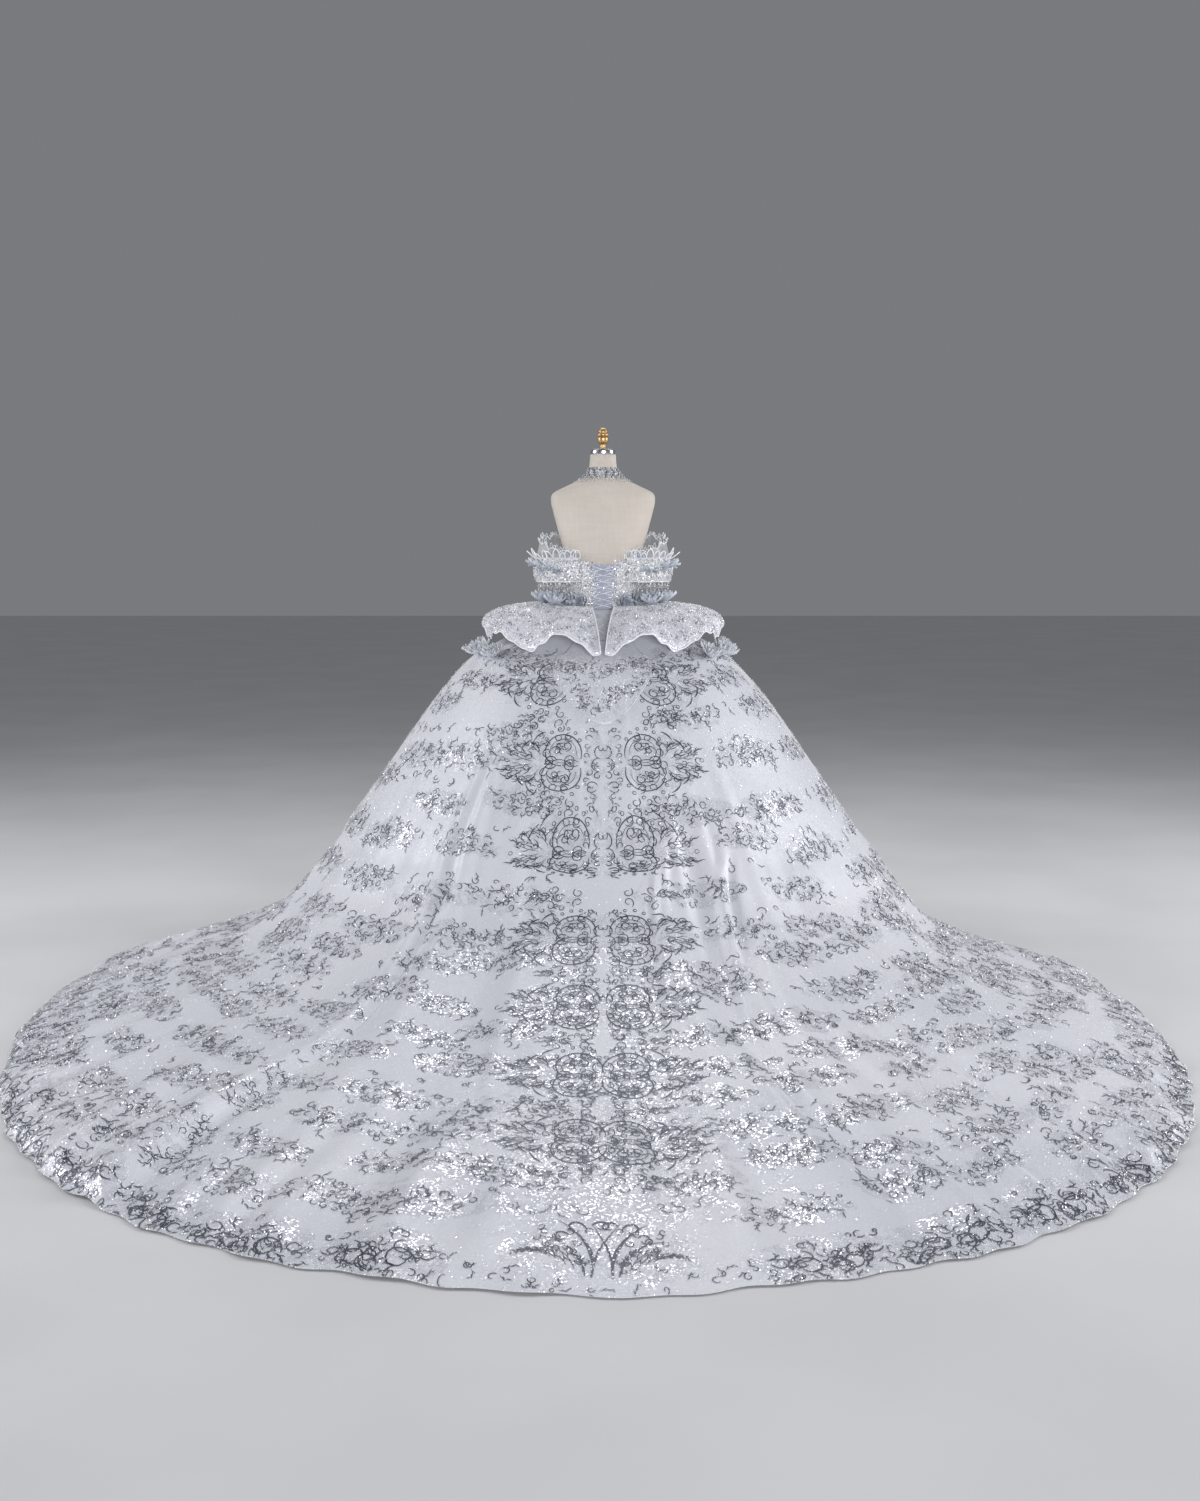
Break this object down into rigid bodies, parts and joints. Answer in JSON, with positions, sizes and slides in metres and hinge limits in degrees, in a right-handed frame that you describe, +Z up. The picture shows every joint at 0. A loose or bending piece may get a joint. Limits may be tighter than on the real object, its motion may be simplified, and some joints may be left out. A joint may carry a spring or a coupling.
{
  "type": "wedding dress on a dress form",
  "caption": "Off-shoulder ball gown with a fluted peplum, laced back and cathedral train, worn on a limbless dress form with a pole and round base.",
  "frame": {"origin": "centre of the stand base's underside, on the floor below the form's axis", "axes": "+Z up, the wearer faces +Y, the train lies towards -Y, +X is the wearer's right"},
  "size_m": [3.6134, 3.7309, 1.9686],
  "materials": {
    "damask": "ivory and silver damask lace over satin, with sequins",
    "beading": "dense silver and ivory beading",
    "modesty": "grey-blue satin under lace",
    "lace_cord": "satin lacing cord",
    "organza": "sheer grey organza",
    "flower": "blue-grey organza",
    "crystal": "cut crystal beads",
    "linen": "cream linen, plain weave",
    "silver": "polished silver",
    "brass": "satin brass",
    "steel": "dark grey paint"
  },
  "bodies": {
    "root": {"skirt_front_left_side": "damask", "skirt_side_back_left": "damask", "skirt_centre_back_left": "damask", "skirt_centre_back_right": "damask", "skirt_side_back_right": "damask", "skirt_front_right_side": "damask", "skirt_front": "damask", "bodice_back_left": "beading", "bodice_back_right": "beading", "bodice_side_left": "beading", "bodice_side_right": "beading", "bodice_front": "beading", "modesty_panel": "modesty", "lacing": "lace_cord", "crystal_collar": "crystal", "sleeve_band_left": "beading", "sleeve_frill_left": "organza", "bead_fringe_left": "crystal", "peplum_wing_left": "damask", "sleeve_band_right": "beading", "sleeve_frill_right": "organza", "bead_fringe_right": "crystal", "peplum_wing_right": "damask", "peplum_tail": "damask", "waist_flower_1_left": "flower", "waist_flower_1_right": "flower", "waist_flower_2_left": "flower", "waist_flower_2_right": "flower", "waist_flower_3_left": "flower", "waist_flower_3_right": "flower", "waist_flower_4_left": "flower", "waist_flower_4_right": "flower", "hip_flower_1_left": "flower", "hip_flower_1_right": "flower", "hip_flower_2_left": "flower", "hip_flower_2_right": "flower", "hip_flower_3_left": "flower", "hip_flower_3_right": "flower", "form_torso": "linen", "form_neck_cap": "silver", "form_finial": "brass", "form_base": "steel", "form_pole": "steel"}
  },
  "joints": []
}
